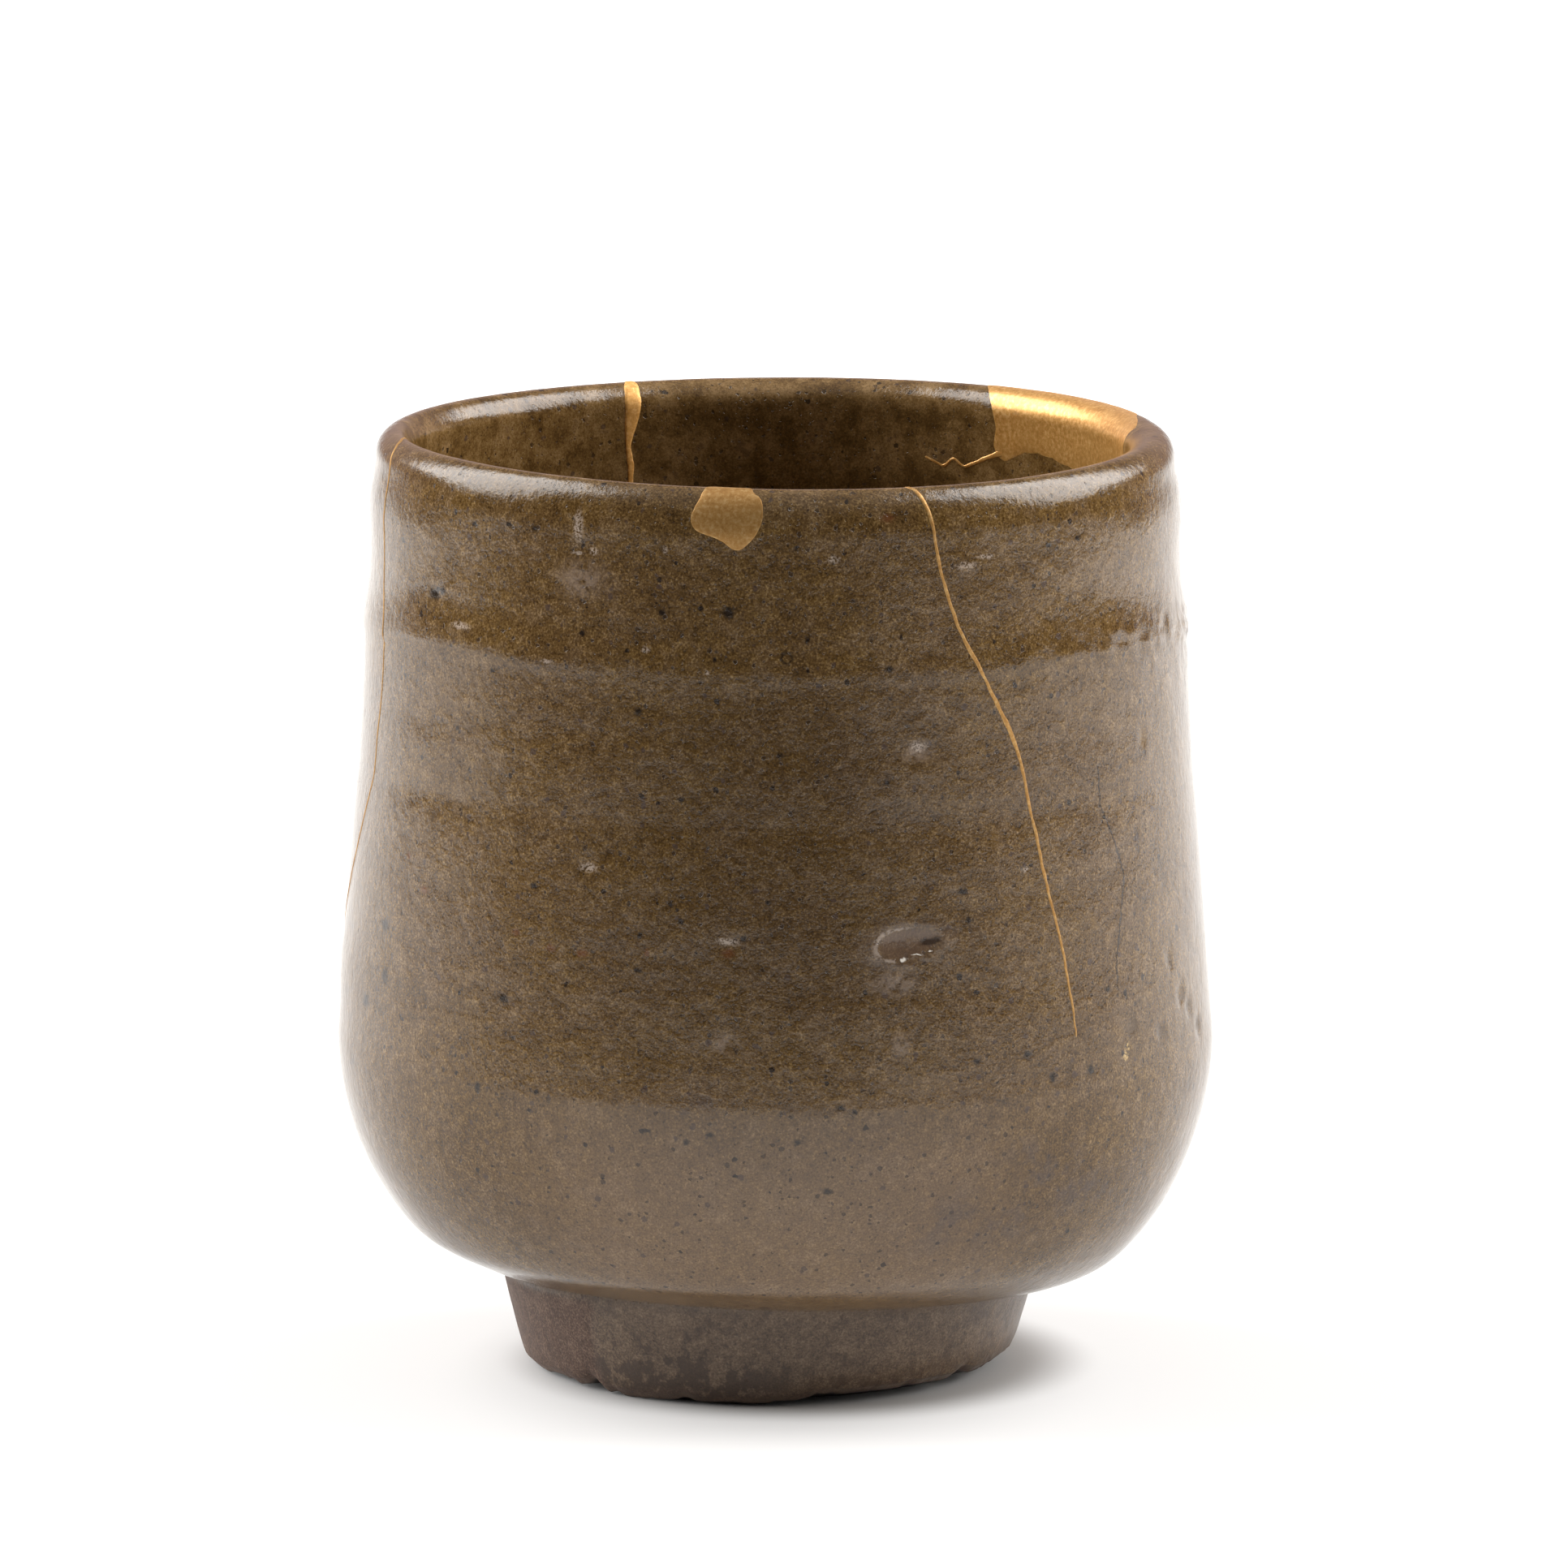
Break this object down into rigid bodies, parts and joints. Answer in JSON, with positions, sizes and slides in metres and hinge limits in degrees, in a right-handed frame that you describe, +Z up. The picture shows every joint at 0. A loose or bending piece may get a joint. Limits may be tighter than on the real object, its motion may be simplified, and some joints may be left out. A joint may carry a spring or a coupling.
{
  "type": "handleless teacup",
  "caption": "Handleless stoneware drinking cup with a round lip, throwing rings, a full belly and a turned foot, its chips and cracks filled with gold lacquer.",
  "frame": {"origin": "centre of the underside of the cup, on the surface it stands on", "axes": "+Z up through the mouth; -Y towards the viewer, the side with the chip repair; +X to the viewer's right"},
  "size_m": [0.0806, 0.0802, 0.0867],
  "materials": {
    "glazed_stoneware": "thin brown and olive ash glaze, semi-gloss, finely speckled, with bare clay at part of the foot",
    "gold_lacquer": "gold powder on lacquer, burnished"
  },
  "bodies": {
    "root": {"cup_body": "glazed_stoneware", "rim_break_fill": "gold_lacquer", "front_chip_fill": "gold_lacquer", "front_right_seam": "gold_lacquer", "left_seam": "gold_lacquer", "back_seam": "gold_lacquer"}
  },
  "joints": []
}
